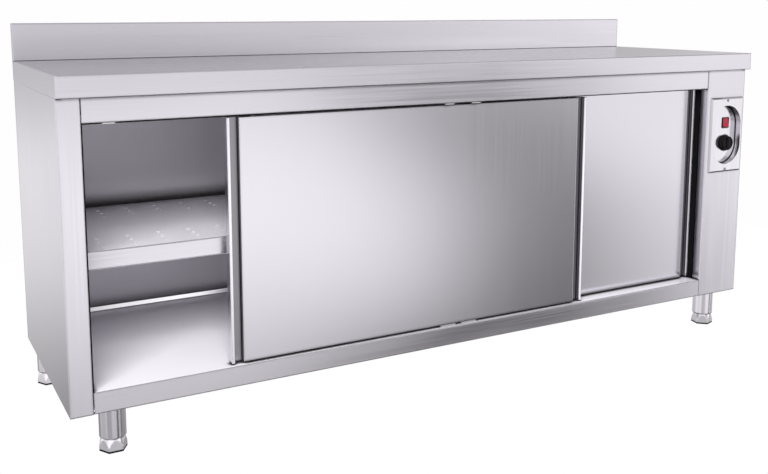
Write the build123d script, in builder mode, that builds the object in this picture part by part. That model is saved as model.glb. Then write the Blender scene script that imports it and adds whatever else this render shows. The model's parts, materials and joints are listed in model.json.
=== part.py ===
from build123d import *
import os
from math import atan, degrees, radians, sin

# Heated stainless steel cupboard: a worktop with a rear upstand over a warm compartment
# that is closed by two sliding doors, with the heating unit in the right-hand column.
# Millimetres, +Z up, -Y is the front. The origin is on the floor, under the middle of the
# worktop.

# ---- Driving dimensions ----------------------------------------------------------------

# Whole cupboard
overall_width = 2000.0
overall_depth = 600.0
worktop_height = 850.0
worktop_edge = 48.0
worktop_overhang = 18.0
upstand_height = 95.0
upstand_thickness = 15.0
underside_height = 118.0
side_reveal = 1.0

# Sheet metal
sheet = 1.2
top_sheet = 1.5
liner_sheet = 1.0
fold_radius = 2.0
sharp_fold = 0.0
edge_round = 2.5
hem_width = 14.0
small_sides = 8
flange_width = 12.0

# Front frame
stile_width = 50.0
column_width = 153.0
return_depth = 30.0
header_height = 55.0
header_lip = 10.0
apron_height = 49.0
frame_joint = 1.0
floor_upstand = 12.0
back_cavity = 10.4

# Worktop core
board_thickness = 18.0
board_clearance = 1.0
top_channel_width = 44.0
top_channel_reach = 290.0
top_channel_end_gap = 58.0

# Doors
door_width = 1030.0
door_thickness = 20.0
door_setback = 12.0
door_lane_gap = 13.0
door_floor_gap = 3.0
door_header_gap = 5.0
door_sheet = 1.0
door_fold = 1.0
grip_lip = 8.0
grip_width = 21.0
grip_depth = 13.0
front_door_opening = 316.0
rear_door_end_gap = 1.0
core_clearance = 0.5
groove_width = 9.0
groove_depth = 14.0

# Closing buffers
buffer_thickness = 3.0
buffer_depth = 38.0

# Top track, door hangers and rollers
track_wall = 1.5
track_ledge = 2.0
track_height = 36.8
track_slot = 10.0
track_end_gap = 2.0
roller_radius = 12.0
roller_width = 8.0
roller_offset = 4.0
roller_clearance = 0.3
axle_radius = 3.0
axle_shoulder_radius = 4.5
axle_clearance = 0.05
hanger_thickness = 3.0
hanger_width = 26.0
hanger_inset = 47.0
hanger_foot = 16.0
hanger_head = 11.0

# Glides and floor guides
glide_length = 27.0
glide_thickness = 2.5
glide_width = 8.0
glide_inset = 0.6
glide_spacing = 79.0
left_glide_inset = 56.0
guide_length = 44.0
guide_plate = 2.0
guide_fin = 7.0
guide_fin_height = 12.0
guide_margin = 4.0
guide_spacing = 64.0
guide_offset = 38.0

# Shelf
shelf_height = 456.0
shelf_setback = 80.0
shelf_side_gap = 2.0
shelf_back_gap = 2.4
shelf_lip = 42.0
shelf_back_lip = 25.0
shelf_bracket_leg = 30.0
shelf_bracket_arm = 20.0
shelf_bracket_end_gap = 14.0
shelf_channel_depth = 24.0
shelf_channel_width = 30.0
hole_across = 10.0
hole_sides = 6
hole_columns = 24
hole_column_pitch = 73.0
hole_rows = 3
hole_row_pitch = 38.0
front_holes_inset = 78.0
rear_holes_inset = 97.0

# Base and legs
base_channel_width = 90.0
base_channel_flange = 12.0
front_channel_setback = 72.0
rear_channel_inset = 59.0
leg_radius = 30.0
leg_wall = 1.5
leg_gap = 0.5
leg_plate_length = 90.0
leg_plate_width = 60.0
leg_plate_thickness = 3.0
leg_bolt_pitch = 76.0
bolt_radius = 3.0
bolt_clearance = 0.2
bolt_head_across = 10.0
bolt_head_height = 4.0
bolt_point = 8.0
front_left_leg_inset = 104.0
front_right_leg_inset = 54.0
rear_leg_inset = 47.0
front_leg_setback = 92.0
rear_leg_margin = 31.0
foot_radius = 31.5
foot_crown_radius = 27.5
foot_facets = 24
foot_height = 33.0
foot_straight = 16.0
front_right_foot_turn = 18.0
foot_pad = 3.0
stem_radius = 8.0
stem_length = 70.0
stem_clearance = 0.05
insert_height = 30.0

# Controls
plate_offset = 3.4
plate_width = 133.0
plate_height = 225.0
plate_sheet = 1.5
plate_rise = 5.0
plate_bevel = 45.0
plate_center_height = 607.0
dish_width = 116.0
dish_height = 176.0
dish_depth = 19.4
window_clearance = 1.0
plate_screw_inset = 9.0
screw_radius = 1.9
screw_head_radius = 3.4
screw_head_height = 2.2
screw_length = 10.0
screw_clearance = 0.2
controls_offset = 13.9
switch_rise = 34.0
switch_width = 27.0
switch_height = 31.0
switch_rim = 2.0
switch_body_inset = 1.5
switch_body_depth = 24.0
switch_wall = 1.5
rocker_gap = 0.4
rocker_tilt = 10.0
rocker_valley = 0.9
rocker_back = 4.0
rocker_pivot_depth = 2.0
knob_drop = 27.0
knob_skirt_radius = 23.5
knob_skirt_height = 5.0
knob_radius = 21.5
knob_length = 17.9
knob_gap = 1.0
knob_edge = 1.5
knob_sides = 24
grip_bar_width = 12.0
grip_bar_length = 36.0
grip_bar_rise = 3.0
knob_bore_depth = 13.0
shaft_radius = 3.0
shaft_clearance = 0.05
shaft_hole_clearance = 1.0
shaft_length = 21.0
shaft_seat = 7.0
thermostat_width = 44.0
thermostat_height = 50.0
thermostat_depth = 38.0

# Heating unit
casing_width = 96.0
casing_front_gap = 210.0
casing_depth = 220.0
casing_bottom = 180.0
casing_height = 520.0
fan_height = 610.0
fan_radius = 62.0
fan_blade_width = 30.0
fan_blade_length = 20.0
fan_blade_thickness = 1.5
fan_blade_angle = 35.0
fan_blades = 10
fan_plate = 2.0
fan_hub_radius = 12.0
fan_wall_gap = 8.0
fan_shaft_radius = 4.0
fan_shaft_clearance = 0.05
fan_shaft_hole_clearance = 1.0
motor_radius = 35.0
motor_length = 40.0
motor_edge = 3.0
element_radius = 4.25
element_pitch = 60.0
element_level = 380.0
element_end_length = 24.0
element_hole_clearance = 0.25
vent_slot_length = 62.0
vent_slot_width = 7.0
vent_columns = 2
vent_column_pitch = 78.0
outlet_rows = 7
inlet_rows = 7
vent_row_pitch = 15.0
outlet_height = 260.0
base_slots = 5
base_slot_length = 70.0
base_slot_pitch = 22.0
base_slot_setback = 250.0
terminal_length = 60.0
terminal_width = 24.0
terminal_height = 26.0
terminal_posts = 3
terminal_post_radius = 5.0
terminal_post_height = 6.0
gland_bore = 5.0
gland_thread_radius = 10.0
gland_hex_across = 24.0
gland_hex_height = 6.0
gland_cap_radius = 9.0
gland_cap_length = 14.0
gland_clearance = 0.3
gland_side_inset = 39.0
gland_back_inset = 100.0

# ---- Levels and faces that the pieces share ---------------------------------------------

front = -overall_depth / 2
back = overall_depth / 2
left = -overall_width / 2
right = overall_width / 2
upstand_face = back - upstand_thickness
upstand_top = worktop_height + upstand_height
body_top = worktop_height - worktop_edge

body_front = front + worktop_overhang
body_left = left + side_reveal
body_right = right - side_reveal
opening_left = body_left + stile_width
opening_right = body_right - column_width
floor_top = underside_height + apron_height
opening_top = body_top - header_height
return_end = body_front + return_depth

panel_back = back - sheet
cavity_front = panel_back - back_cavity - liner_sheet
liner_front = return_end + liner_sheet
frame_left = opening_left + frame_joint
frame_right = opening_right - frame_joint
base_top = underside_height + sheet

door_bottom = floor_top + door_floor_gap
door_top = opening_top - door_header_gap
front_door_face = body_front + door_setback
rear_door_face = front_door_face + door_thickness + door_lane_gap
front_door_left = opening_left + front_door_opening
rear_door_left = opening_right - buffer_thickness - rear_door_end_gap - door_width
track_top = body_top - sheet
track_bottom = track_top - track_height
lane_pitch = door_thickness + door_lane_gap
track_front = front_door_face + door_thickness / 2 - lane_pitch / 2 - track_wall / 2
roller_height = track_bottom + track_ledge + roller_radius + roller_clearance

column_middle = (opening_right + body_right) / 2
plate_middle = column_middle + plate_offset
plate_front = body_front - plate_rise
controls_middle = plate_middle + controls_offset
dish_floor = plate_front + dish_depth
dish_back = dish_floor + plate_sheet
switch_level = plate_center_height + switch_rise
knob_level = plate_center_height - knob_drop

casing_front = body_front + casing_front_gap
casing_back = casing_front + casing_depth
casing_middle = (casing_front + casing_back) / 2
casing_side = opening_right + liner_sheet
casing_outer = casing_side + casing_width

rear_leg_y = back - rear_leg_margin
front_leg_y = front + front_leg_setback
leg_places = {
    "front_left": (left + front_left_leg_inset, front_leg_y),
    "front_right": (right - front_right_leg_inset, front_leg_y),
    "rear_left": (left + rear_leg_inset, rear_leg_y),
    "rear_right": (right - rear_leg_inset, rear_leg_y),
}
tube_bottom = foot_height + leg_gap
plate_bottom = underside_height - leg_plate_thickness


# ---- Helpers ----------------------------------------------------------------------------


def finish(piece, node):
    """Label a finished piece and write it as the STEP file of its node."""
    piece.part.label = node
    export_step(piece.part, f"parts/{node}.step")


def span(x_low, x_high, y_low, y_high):
    """Rectangle between two pairs of coordinates."""
    with BuildSketch() as area:
        with Locations(((x_low + x_high) / 2, (y_low + y_high) / 2)):
            Rectangle(x_high - x_low, y_high - y_low)
    return area.sketch


def folded(*points, thickness=sheet, bend=fold_radius):
    """Section of a folded sheet whose middle line follows the points."""
    with BuildSketch() as section:
        with BuildLine():
            FilletPolyline(*points, radius=bend)
        trace(line_width=thickness)
    return section.sketch


def bolt_holes():
    """Clearance holes for the leg bolts, as they lie on the underside."""
    with BuildSketch() as holes:
        for leg_x, leg_y in leg_places.values():
            with Locations((leg_x, leg_y)):
                with GridLocations(leg_bolt_pitch, 0, 2, 1):
                    RegularPolygon(bolt_radius + bolt_clearance, small_sides, major_radius=False)
    return holes.sketch


os.makedirs("parts", exist_ok=True)

# ---- Worktop ----------------------------------------------------------------------------

board_top = worktop_height - top_sheet


def worktop_form(inset):
    """Square-edged form of the folded worktop, moved inwards by the inset."""
    with BuildPart() as form:
        with BuildSketch(Plane.YZ.offset(left + inset)):
            with BuildLine():
                Polyline(
                    (front + inset, body_top),
                    (front + inset, worktop_height - inset),
                    (upstand_face + inset, worktop_height - inset),
                    (upstand_face + inset, upstand_top - inset),
                    (back - inset, upstand_top - inset),
                    (back - inset, body_top),
                    close=True,
                )
            make_face()
        extrude(amount=overall_width - 2 * inset)
    return form


# One sheet folded down on three sides and up into the boxed upstand at the rear.
with BuildPart() as worktop:
    add(worktop_form(0).part)
    level_edges = worktop.edges().filter_by_position(Axis.Z, board_top, worktop_height + top_sheet)
    front_edge = level_edges.filter_by(Axis.X).sort_by(Axis.Y)[0]
    end_edges = level_edges.filter_by(Axis.Y)
    corner_edges = worktop.edges().filter_by(Axis.Z).group_by(Axis.Y)[0]
    crest_edges = worktop.edges().group_by(Axis.Z)[-1]
    fillet(ShapeList([front_edge, *end_edges, *corner_edges, *crest_edges]), radius=edge_round)
    add(worktop_form(top_sheet).part, mode=Mode.SUBTRACT)
    with BuildSketch(Plane.XY.offset(body_top)):
        add(span(left + top_sheet / 2, right - top_sheet / 2, front + top_sheet / 2, back - top_sheet / 2))
        add(
            span(left + hem_width, right - hem_width, front + hem_width, back - hem_width),
            mode=Mode.SUBTRACT,
        )
    extrude(amount=top_sheet)
finish(worktop, "worktop")

# Sound-deadening board glued under the sheet.
board_bottom = board_top - board_thickness
board_edge = top_sheet + board_clearance
with BuildPart() as worktop_board:
    with BuildSketch(Plane.XY.offset(board_bottom)):
        add(span(left + board_edge, right - board_edge, front + board_edge, upstand_face - board_clearance))
    extrude(amount=board_thickness)
finish(worktop_board, "worktop_board")

# Two lengthwise hat channels carry the board on the top liner.
with BuildPart() as worktop_channels:
    with BuildSketch(Plane.YZ.offset(left + top_channel_end_gap)):
        for channel_y in (-top_channel_reach / 2, top_channel_reach / 2):
            add(
                folded(
                    (channel_y - top_channel_width, board_bottom - sheet / 2),
                    (channel_y - top_channel_width / 2, board_bottom - sheet / 2),
                    (channel_y - top_channel_width / 2, body_top + sheet / 2),
                    (channel_y + top_channel_width / 2, body_top + sheet / 2),
                    (channel_y + top_channel_width / 2, board_bottom - sheet / 2),
                    (channel_y + top_channel_width, board_bottom - sheet / 2),
                    bend=sharp_fold,
                )
            )
    extrude(amount=overall_width - 2 * top_channel_end_gap)
finish(worktop_channels, "worktop_channels")

# ---- Side panels ------------------------------------------------------------------------


def side_panel(outer, inner):
    """Side sheet with its front stile, the stile's return and the closing flanges."""
    inward = 1 if inner > outer else -1
    outer_mid = outer + inward * sheet / 2
    inner_mid = inner - inward * sheet / 2
    rear_mid = panel_back - sheet / 2
    front_mid = body_front + sheet / 2
    inside = sorted((outer_mid, inner_mid))
    with BuildPart() as panel:
        with BuildSketch(Plane.XY.offset(underside_height)):
            add(
                folded(
                    (outer + inward * hem_width, rear_mid),
                    (outer_mid, rear_mid),
                    (outer_mid, front_mid),
                    (inner_mid, front_mid),
                    (inner_mid, return_end),
                )
            )
        extrude(amount=body_top - underside_height)
        with BuildSketch(Plane.XY.offset(underside_height)):
            add(span(*inside, front_mid + fold_radius, return_end))
            add(span(outer_mid, outer_mid + inward * (abs(inner - outer) - sheet), return_end, rear_mid))
            add(bolt_holes(), mode=Mode.SUBTRACT)
        extrude(amount=sheet)
        with BuildSketch(Plane.XY.offset(body_top - sheet)):
            add(
                span(
                    *sorted((outer_mid, outer + inward * 2 * flange_width)),
                    front_mid + fold_radius,
                    rear_mid,
                )
            )
        extrude(amount=sheet)
    return panel


side_panel_left = side_panel(body_left, opening_left)
finish(side_panel_left, "side_panel_left")

with BuildPart() as side_panel_right:
    add(side_panel(body_right, opening_right).part)
    with BuildSketch(Plane.XZ.offset(-body_front)):
        with Locations((plate_middle, plate_center_height)):
            SlotOverall(
                dish_height + 2 * (plate_sheet + window_clearance),
                dish_width + 2 * (plate_sheet + window_clearance),
                rotation=90,
            )
            with GridLocations(0, plate_height - 2 * plate_screw_inset, 1, 2):
                RegularPolygon(screw_radius + screw_clearance, small_sides, major_radius=False)
    extrude(amount=-sheet, mode=Mode.SUBTRACT)
    with BuildSketch(Plane.XY.offset(underside_height)):
        with Locations((column_middle, body_front + base_slot_setback)):
            with GridLocations(0, base_slot_pitch, 1, base_slots):
                Rectangle(base_slot_length, vent_slot_width)
        with Locations((body_right - gland_side_inset, back - gland_back_inset)):
            RegularPolygon(gland_thread_radius + gland_clearance, small_sides, major_radius=False)
    extrude(amount=sheet, mode=Mode.SUBTRACT)
finish(side_panel_right, "side_panel_right")

# ---- Header and floor -------------------------------------------------------------------

with BuildPart() as header_rail:
    with BuildSketch(Plane.YZ.offset(frame_left)):
        add(
            folded(
                (track_front + track_wall + flange_width, body_top - sheet / 2),
                (body_front + sheet / 2, body_top - sheet / 2),
                (body_front + sheet / 2, opening_top + sheet / 2),
                (body_front + header_lip, opening_top + sheet / 2),
            )
        )
    extrude(amount=frame_right - frame_left)
finish(header_rail, "header_rail")

# The floor of the compartment is folded down into the front apron.
with BuildPart() as floor_pan:
    with BuildSketch(Plane.YZ.offset(frame_left)):
        add(
            folded(
                (body_front + hem_width, underside_height + sheet / 2),
                (body_front + sheet / 2, underside_height + sheet / 2),
                (body_front + sheet / 2, floor_top - sheet / 2),
                (cavity_front - sheet / 2, floor_top - sheet / 2),
                (cavity_front - sheet / 2, floor_top + floor_upstand),
            )
        )
    extrude(amount=frame_right - frame_left)
    with BuildSketch(Plane.XY.offset(floor_top)):
        add(
            span(
                opening_left - flange_width,
                opening_right + flange_width,
                liner_front + liner_sheet,
                cavity_front - sheet,
            )
        )
    extrude(amount=-sheet)
finish(floor_pan, "floor_pan")

# Open-topped channels under the floor carry it and take the leg plates.
with BuildPart() as base_channels:
    with BuildSketch(Plane.YZ.offset(frame_left)):
        for channel_y in (body_front + front_channel_setback, back - rear_channel_inset):
            outer_wall = base_channel_width / 2 - sheet / 2
            add(
                folded(
                    (channel_y - base_channel_width / 2 + base_channel_flange, floor_top - 1.5 * sheet),
                    (channel_y - outer_wall, floor_top - 1.5 * sheet),
                    (channel_y - outer_wall, underside_height + sheet / 2),
                    (channel_y + outer_wall, underside_height + sheet / 2),
                    (channel_y + outer_wall, floor_top - 1.5 * sheet),
                    (channel_y + base_channel_width / 2 - base_channel_flange, floor_top - 1.5 * sheet),
                    bend=sharp_fold,
                )
            )
    extrude(amount=frame_right - frame_left)
    with BuildSketch(Plane.XY.offset(underside_height)):
        add(bolt_holes())
    extrude(amount=sheet, mode=Mode.SUBTRACT)
finish(base_channels, "base_channels")

# ---- Linings and back -------------------------------------------------------------------


def side_liner(face, outward):
    """Inner side sheet with flanges on all four edges, seen from the compartment at `face`."""
    middle = face + outward * liner_sheet / 2
    edge = face + outward * (flange_width + liner_sheet)
    flange = sorted((middle, edge))
    with BuildPart() as liner:
        with BuildSketch(Plane.XY.offset(floor_top)):
            add(
                folded(
                    (edge, liner_front + liner_sheet / 2),
                    (middle, liner_front + liner_sheet / 2),
                    (middle, cavity_front - liner_sheet / 2),
                    (edge, cavity_front - liner_sheet / 2),
                    thickness=liner_sheet,
                    bend=sharp_fold,
                )
            )
        extrude(amount=track_top - floor_top)
        for level in (floor_top, track_top - liner_sheet):
            with BuildSketch(Plane.XY.offset(level)):
                add(
                    span(
                        *flange,
                        liner_front + liner_sheet / 2,
                        cavity_front - liner_sheet / 2,
                    )
                )
            extrude(amount=liner_sheet)
    return liner


liner_left = side_liner(opening_left, -1)
finish(liner_left, "liner_left")

# The right-hand lining is slotted for the warm air: inlet at the fan, outlet low down.
with BuildPart() as liner_right:
    add(side_liner(opening_right, 1).part)
    with BuildSketch(Plane.YZ.offset(opening_right)):
        with Locations((casing_middle, fan_height)):
            with GridLocations(vent_column_pitch, vent_row_pitch, vent_columns, inlet_rows):
                Rectangle(vent_slot_length, vent_slot_width)
        with Locations((casing_middle, outlet_height)):
            with GridLocations(vent_column_pitch, vent_row_pitch, vent_columns, outlet_rows):
                Rectangle(vent_slot_length, vent_slot_width)
    extrude(amount=liner_sheet, mode=Mode.SUBTRACT)
finish(liner_right, "liner_right")

with BuildPart() as back_liner:
    with BuildSketch(Plane.XY.offset(base_top)):
        add(
            folded(
                (opening_left - flange_width, panel_back - flange_width / 2),
                (opening_left - flange_width, cavity_front + liner_sheet / 2),
                (opening_right + flange_width, cavity_front + liner_sheet / 2),
                (opening_right + flange_width, panel_back - flange_width / 2),
                thickness=liner_sheet,
                bend=sharp_fold,
            )
        )
    extrude(amount=track_top - base_top)
finish(back_liner, "back_liner")

with BuildPart() as top_liner:
    with BuildSketch(Plane.XY.offset(track_top)):
        add(
            span(
                opening_left - flange_width,
                opening_right + flange_width,
                liner_front,
                cavity_front,
            )
        )
        add(span(frame_left, frame_right, track_front + track_wall + flange_width, liner_front))
    extrude(amount=sheet)
finish(top_liner, "top_liner")

with BuildPart() as back_panel:
    with BuildSketch(Plane.YZ.offset(frame_left)):
        add(
            folded(
                (panel_back - flange_width, underside_height + sheet / 2),
                (back - sheet / 2, underside_height + sheet / 2),
                (back - sheet / 2, body_top - sheet / 2),
                (panel_back - flange_width / 2, body_top - sheet / 2),
                bend=sharp_fold,
            )
        )
    extrude(amount=frame_right - frame_left)
    with BuildSketch(Plane.XY.offset(underside_height)):
        add(span(body_left, frame_left, panel_back, back))
        add(span(frame_right, body_right, panel_back, back))
    extrude(amount=body_top - underside_height)
    with BuildSketch(Plane.XZ.offset(-panel_back)):
        with Locations((column_middle, fan_height)):
            with GridLocations(0, base_slot_pitch, 1, base_slots):
                Rectangle(base_slot_length, vent_slot_width)
    extrude(amount=-sheet, mode=Mode.SUBTRACT)
finish(back_panel, "back_panel")

# ---- Track, glides, guides and buffers --------------------------------------------------

# Two C-shaped lanes, one behind the other, open downwards by a slot.
with BuildPart() as door_track:
    with BuildSketch(Plane.YZ.offset(opening_left + buffer_thickness)):
        track_depth = 2 * lane_pitch + track_wall
        add(span(track_front, track_front + track_depth, track_bottom, track_top))
        for lane in range(2):
            lane_front = track_front + track_wall + lane * lane_pitch
            lane_back = lane_front + lane_pitch - track_wall
            lane_middle = (lane_front + lane_back) / 2
            add(
                span(lane_front, lane_back, track_bottom + track_ledge, track_top - track_wall),
                mode=Mode.SUBTRACT,
            )
            add(
                span(
                    lane_middle - track_slot / 2,
                    lane_middle + track_slot / 2,
                    track_bottom,
                    track_bottom + track_ledge,
                ),
                mode=Mode.SUBTRACT,
            )
    extrude(amount=opening_right - opening_left - 2 * buffer_thickness)
finish(door_track, "door_track")

opening_middle = (opening_left + opening_right) / 2
guides_middle = opening_middle + guide_offset
with BuildPart() as top_glides:
    with BuildSketch(Plane.XY.offset(opening_top)):
        with Locations((0, body_front + sheet - glide_inset + glide_width / 2)):
            with Locations(
                (opening_left + left_glide_inset, 0),
                (guides_middle - glide_spacing / 2, 0),
                (guides_middle + glide_spacing / 2, 0),
            ):
                Rectangle(glide_length, glide_width)
    extrude(amount=-glide_thickness)
finish(top_glides, "top_glides")

front_lane = front_door_face + door_thickness / 2
rear_lane = rear_door_face + door_thickness / 2
with BuildPart() as bottom_guides:
    with BuildSketch(Plane.XY.offset(floor_top)):
        with Locations((guides_middle, (front_lane + rear_lane) / 2)):
            with GridLocations(guide_spacing, 0, 2, 1):
                Rectangle(guide_length, lane_pitch + door_thickness + 2 * guide_margin)
    extrude(amount=guide_plate)
    with BuildSketch(Plane.XY.offset(floor_top + guide_plate)) as fins:
        with Locations((guides_middle, (front_lane + rear_lane) / 2)):
            with GridLocations(guide_spacing, lane_pitch, 2, 2):
                Rectangle(guide_length, guide_fin)
        chamfer(fins.vertices(), length=guide_fin / 3)
    extrude(amount=guide_fin_height)
finish(bottom_guides, "bottom_guides")

with BuildPart() as door_buffers:
    with BuildSketch(Plane.XY.offset(floor_top)):
        buffer_back = return_end + buffer_depth
        add(span(opening_left, opening_left + buffer_thickness, return_end, buffer_back))
        add(span(opening_right - buffer_thickness, opening_right, return_end, buffer_back))
    extrude(amount=opening_top - floor_top)
finish(door_buffers, "door_buffers")

# ---- Sliding doors ----------------------------------------------------------------------

groove_inset = grip_lip + grip_width + 2 * door_sheet
skin_depth = door_thickness - door_sheet


def door_skin(edge, face):
    """Front sheet of a door, folded round a finger channel at each side and closed at its ends."""
    channel_end = grip_lip + grip_width
    with BuildPart() as skin:
        with BuildSketch(Plane.XY.offset(door_bottom)) as outline:
            add(span(edge, edge + door_width, face, face + skin_depth))
            for channel in (edge + grip_lip, edge + door_width - channel_end):
                add(
                    span(channel, channel + grip_width, face, face + grip_depth),
                    mode=Mode.SUBTRACT,
                )
            chamfer(outline.vertices().group_by(Axis.Y)[0], length=door_fold)
        extrude(amount=door_top - door_bottom)
        offset(amount=-door_sheet, openings=skin.faces().sort_by(Axis.Y)[-1])
        with BuildSketch(Plane.XY.offset(door_bottom)):
            with Locations((edge + door_width / 2, face + door_thickness / 2)):
                Rectangle(door_width - 2 * groove_inset, groove_width + 2 * door_sheet)
        extrude(amount=door_sheet, mode=Mode.SUBTRACT)
    return skin


def door_liner(edge, face):
    """Flat sheet that closes the back of a door."""
    with BuildPart() as liner:
        with BuildSketch(Plane.XY.offset(door_bottom)):
            add(span(edge, edge + door_width, face + skin_depth, face + door_thickness))
        extrude(amount=door_top - door_bottom)
    return liner


def door_core(edge, face):
    """Insulating board inside a door, cut back over the guide groove."""
    inset = door_sheet + core_clearance
    with BuildPart() as core:
        with BuildSketch(Plane.XY.offset(door_bottom + inset)):
            add(
                span(
                    edge + groove_inset,
                    edge + door_width - groove_inset,
                    face + inset,
                    face + door_thickness - inset,
                )
            )
        extrude(amount=door_top - door_bottom - 2 * inset)
        with BuildSketch(Plane.XY.offset(door_bottom)):
            with Locations((edge + door_width / 2, face + door_thickness / 2)):
                Rectangle(door_width, groove_width + 2 * inset)
        extrude(amount=groove_depth + inset, mode=Mode.SUBTRACT)
    return core


def door_groove(edge, face):
    """Inverted channel let into the bottom of a door, which runs over the floor guides."""
    middle = face + door_thickness / 2
    wall = groove_width / 2 + door_sheet / 2
    with BuildPart() as groove:
        with BuildSketch(Plane.YZ.offset(edge + groove_inset)):
            add(
                folded(
                    (middle - wall, door_bottom),
                    (middle - wall, door_bottom + groove_depth + door_sheet / 2),
                    (middle + wall, door_bottom + groove_depth + door_sheet / 2),
                    (middle + wall, door_bottom),
                    thickness=door_sheet,
                    bend=sharp_fold,
                )
            )
        extrude(amount=door_width - 2 * groove_inset)
    return groove


def hanger_places(edge):
    """Distances from the left of the two hangers of a door."""
    return (edge + hanger_inset, edge + door_width - hanger_inset)


def door_hangers(edge, face):
    """Two angle brackets on the top of a door, each with a shouldered and riveted axle."""
    plate_face = face + door_thickness / 2 + hanger_thickness / 2
    wheel_front = plate_face + roller_offset
    wheel_back = wheel_front + roller_width
    foot_back = plate_face + hanger_foot / 2
    with BuildPart() as hangers:
        with BuildSketch(Plane.XY.offset(door_top)):
            for hanger_x in hanger_places(edge):
                add(
                    span(
                        hanger_x - hanger_width / 2,
                        hanger_x + hanger_width / 2,
                        plate_face - hanger_thickness,
                        foot_back,
                    )
                )
        extrude(amount=hanger_thickness)
        with BuildSketch(Plane.XZ.offset(-plate_face)):
            for hanger_x in hanger_places(edge):
                with Locations((hanger_x, roller_height)):
                    RegularPolygon(hanger_head, small_sides)
                add(
                    span(
                        hanger_x - hanger_head,
                        hanger_x + hanger_head,
                        door_top,
                        roller_height,
                    )
                )
        extrude(amount=hanger_thickness)
        with BuildSketch(Plane.XZ.offset(-plate_face)):
            for hanger_x in hanger_places(edge):
                with Locations((hanger_x, roller_height)):
                    RegularPolygon(axle_shoulder_radius, small_sides)
        extrude(amount=-(roller_offset - roller_clearance))
        with BuildSketch(Plane.XZ.offset(-plate_face)):
            for hanger_x in hanger_places(edge):
                with Locations((hanger_x, roller_height)):
                    RegularPolygon(axle_radius, small_sides)
        extrude(amount=-(wheel_back - plate_face + 1))
    return hangers


def roller(x, face):
    """Plain wheel of a door hanger."""
    plate_face = face + door_thickness / 2 + hanger_thickness / 2
    with BuildPart() as wheel:
        with BuildSketch(Plane.XZ.offset(-(plate_face + roller_offset))):
            with Locations((x, roller_height)):
                RegularPolygon(roller_radius, 2 * small_sides)
                RegularPolygon(
                    axle_radius + axle_clearance,
                    small_sides,
                    major_radius=False,
                    mode=Mode.SUBTRACT,
                )
        extrude(amount=-roller_width)
    return wheel


for door, door_edge, door_face in (
    ("front_door", front_door_left, front_door_face),
    ("rear_door", rear_door_left, rear_door_face),
):
    finish(door_skin(door_edge, door_face), f"{door}_skin")
    finish(door_liner(door_edge, door_face), f"{door}_liner")
    finish(door_core(door_edge, door_face), f"{door}_core")
    finish(door_groove(door_edge, door_face), f"{door}_bottom_channel")
    finish(door_hangers(door_edge, door_face), f"{door}_hangers")
    roller_left_x, roller_right_x = hanger_places(door_edge)
    finish(roller(roller_left_x, door_face), f"{door}_roller_left")
    finish(roller(roller_right_x, door_face), f"{door}_roller_right")

# ---- Shelf ------------------------------------------------------------------------------

shelf_left = opening_left + shelf_side_gap
shelf_right = opening_right - shelf_side_gap
shelf_front = body_front + shelf_setback
shelf_back = cavity_front - shelf_back_gap
shelf_underside = shelf_height - liner_sheet
shelf_channel_y = (shelf_front + shelf_back) / 2 - edge_round

# Perforated shelf with a deep front lip folded back under itself.
with BuildPart() as shelf:
    with BuildSketch(Plane.YZ.offset(shelf_left)):
        add(
            folded(
                (shelf_front + flange_width, shelf_height - shelf_lip + liner_sheet / 2),
                (shelf_front + liner_sheet / 2, shelf_height - shelf_lip + liner_sheet / 2),
                (shelf_front + liner_sheet / 2, shelf_height - liner_sheet / 2),
                (shelf_back - liner_sheet / 2, shelf_height - liner_sheet / 2),
                (shelf_back - liner_sheet / 2, shelf_height - shelf_back_lip),
                thickness=liner_sheet,
            )
        )
    extrude(amount=shelf_right - shelf_left)
    with BuildSketch(Plane.XY.offset(shelf_height)):
        for band_y in (shelf_front + front_holes_inset, shelf_back - rear_holes_inset):
            with Locations((opening_middle, band_y)):
                with GridLocations(hole_column_pitch, hole_row_pitch, hole_columns, hole_rows):
                    RegularPolygon(hole_across / 2, hole_sides, major_radius=False)
    extrude(amount=-liner_sheet, mode=Mode.SUBTRACT)
finish(shelf, "shelf")

bracket_front = shelf_front + shelf_bracket_end_gap
bracket_back = shelf_back - shelf_bracket_end_gap
with BuildPart() as shelf_brackets:
    with BuildSketch(Plane.XZ.offset(-bracket_front)):
        for wall, inward in ((opening_left, 1), (opening_right, -1)):
            add(
                folded(
                    (wall + inward * liner_sheet / 2, shelf_underside - shelf_bracket_leg),
                    (wall + inward * liner_sheet / 2, shelf_underside - liner_sheet / 2),
                    (wall + inward * shelf_bracket_arm, shelf_underside - liner_sheet / 2),
                    thickness=liner_sheet,
                    bend=sharp_fold,
                )
            )
    extrude(amount=-(bracket_back - bracket_front))
finish(shelf_brackets, "shelf_brackets")

with BuildPart() as shelf_stiffener:
    stiffener_left = opening_left + shelf_bracket_arm + shelf_side_gap
    stiffener_right = opening_right - shelf_bracket_arm - shelf_side_gap
    with BuildSketch(Plane.YZ.offset(stiffener_left)):
        add(
            folded(
                (shelf_channel_y - shelf_channel_width / 2 - flange_width, shelf_underside - liner_sheet / 2),
                (shelf_channel_y - shelf_channel_width / 2, shelf_underside - liner_sheet / 2),
                (shelf_channel_y - shelf_channel_width / 2, shelf_underside - shelf_channel_depth),
                (shelf_channel_y + shelf_channel_width / 2, shelf_underside - shelf_channel_depth),
                (shelf_channel_y + shelf_channel_width / 2, shelf_underside - liner_sheet / 2),
                (shelf_channel_y + shelf_channel_width / 2 + flange_width, shelf_underside - liner_sheet / 2),
                thickness=liner_sheet,
                bend=sharp_fold,
            )
        )
    extrude(amount=stiffener_right - stiffener_left)
finish(shelf_stiffener, "shelf_stiffener")

# ---- Control plate ----------------------------------------------------------------------

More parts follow.
